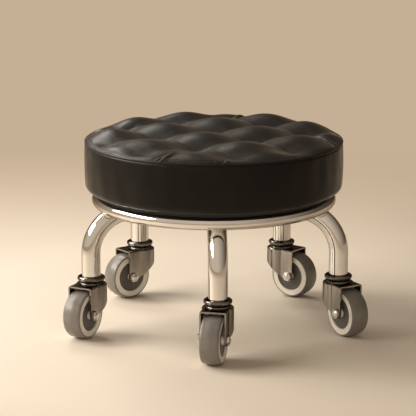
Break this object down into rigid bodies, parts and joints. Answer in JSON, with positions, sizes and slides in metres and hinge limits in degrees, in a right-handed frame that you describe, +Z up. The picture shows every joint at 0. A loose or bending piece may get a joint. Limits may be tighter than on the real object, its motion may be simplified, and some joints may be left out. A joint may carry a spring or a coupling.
{
  "type": "rolling stool",
  "caption": "Low round stool with a tufted padded seat on a chromed ring frame with bent tube legs and swivel casters.",
  "frame": {"origin": "on the floor under the middle of the seat", "axes": "+Z up; -Y towards the first leg, which is the one nearest the picture's camera"},
  "size_m": [0.4081, 0.4076, 0.2716],
  "materials": {
    "cover_leather": "satin",
    "cushion_foam": "matte",
    "plywood": "matte",
    "black_board": "matte",
    "chrome": "polished",
    "dark_nickel": "gloss",
    "zinc_steel": "satin",
    "black_plastic": "satin",
    "tread_grey": "matte",
    "core_grey": "satin",
    "cap_grey": "matte"
  },
  "bodies": {
    "frame": {"seat_top_cover": "cover_leather", "seat_side_band": "cover_leather", "seat_welt": "cover_leather", "seat_foam": "cushion_foam", "seat_board": "plywood", "mount_board": "black_board", "seat_tee_nuts": "zinc_steel", "seat_washers": "zinc_steel", "seat_screws": "zinc_steel", "frame_ring": "chrome", "mount_tabs": "chrome", "leg_tube_1": "chrome", "leg_tube_2": "chrome", "leg_tube_3": "chrome", "leg_tube_4": "chrome", "leg_tube_5": "chrome", "center_hub": "chrome", "hub_plug": "black_plastic", "stem_sockets": "zinc_steel", "caster_stems": "zinc_steel", "swivel_collars": "dark_nickel", "swivel_balls": "zinc_steel", "thrust_washers": "zinc_steel"},
    "caster_1": {"fork_1": "dark_nickel", "axle_bolt_1": "zinc_steel", "axle_nut_1": "zinc_steel", "axle_sleeve_1": "zinc_steel"},
    "wheel_1": {"tyre_1": "tread_grey", "wheel_core_1": "core_grey", "wheel_caps_1": "cap_grey"},
    "caster_2": {"fork_2": "dark_nickel", "axle_bolt_2": "zinc_steel", "axle_nut_2": "zinc_steel", "axle_sleeve_2": "zinc_steel"},
    "wheel_2": {"tyre_2": "tread_grey", "wheel_core_2": "core_grey", "wheel_caps_2": "cap_grey"},
    "caster_3": {"fork_3": "dark_nickel", "axle_bolt_3": "zinc_steel", "axle_nut_3": "zinc_steel", "axle_sleeve_3": "zinc_steel"},
    "wheel_3": {"tyre_3": "tread_grey", "wheel_core_3": "core_grey", "wheel_caps_3": "cap_grey"},
    "caster_4": {"fork_4": "dark_nickel", "axle_bolt_4": "zinc_steel", "axle_nut_4": "zinc_steel", "axle_sleeve_4": "zinc_steel"},
    "wheel_4": {"tyre_4": "tread_grey", "wheel_core_4": "core_grey", "wheel_caps_4": "cap_grey"},
    "caster_5": {"fork_5": "dark_nickel", "axle_bolt_5": "zinc_steel", "axle_nut_5": "zinc_steel", "axle_sleeve_5": "zinc_steel"},
    "wheel_5": {"tyre_5": "tread_grey", "wheel_core_5": "core_grey", "wheel_caps_5": "cap_grey"}
  },
  "joints": [
    {"name": "caster_1_swivel", "type": "hinge", "parent": "frame", "child": "caster_1", "pos_m": [0, -0.1755, 0.0708], "axis": [0, 0, 1], "continuous": true},
    {"name": "wheel_1_roll", "type": "hinge", "parent": "caster_1", "child": "wheel_1", "pos_m": [-0.00587, -0.19805, 0.0325], "axis": [0.9677, -0.2521, 0], "continuous": true},
    {"name": "caster_2_swivel", "type": "hinge", "parent": "frame", "child": "caster_2", "pos_m": [0.16691, -0.05423, 0.0708], "axis": [0, 0, 1], "continuous": true},
    {"name": "wheel_2_roll", "type": "hinge", "parent": "caster_2", "child": "wheel_2", "pos_m": [0.17824, -0.07459, 0.0325], "axis": [0.8738, 0.4863, 0], "continuous": true},
    {"name": "caster_3_swivel", "type": "hinge", "parent": "frame", "child": "caster_3", "pos_m": [0.10316, 0.14198, 0.0708], "axis": [0, 0, 1], "continuous": true},
    {"name": "wheel_3_roll", "type": "hinge", "parent": "caster_3", "child": "wheel_3", "pos_m": [0.12121, 0.12726, 0.0325], "axis": [0.632, 0.7749, 0], "continuous": true},
    {"name": "caster_4_swivel", "type": "hinge", "parent": "frame", "child": "caster_4", "pos_m": [-0.10316, 0.14198, 0.0708], "axis": [0, 0, 1], "continuous": true},
    {"name": "wheel_4_roll", "type": "hinge", "parent": "caster_4", "child": "wheel_4", "pos_m": [-0.12205, 0.12835, 0.0325], "axis": [0.585, -0.8111, 0], "continuous": true},
    {"name": "caster_5_swivel", "type": "hinge", "parent": "frame", "child": "caster_5", "pos_m": [-0.16691, -0.05423, 0.0708], "axis": [0, 0, 1], "continuous": true},
    {"name": "wheel_5_roll", "type": "hinge", "parent": "caster_5", "child": "wheel_5", "pos_m": [-0.17821, -0.07461, 0.0325], "axis": [0.8746, -0.4848, 0], "continuous": true}
  ]
}
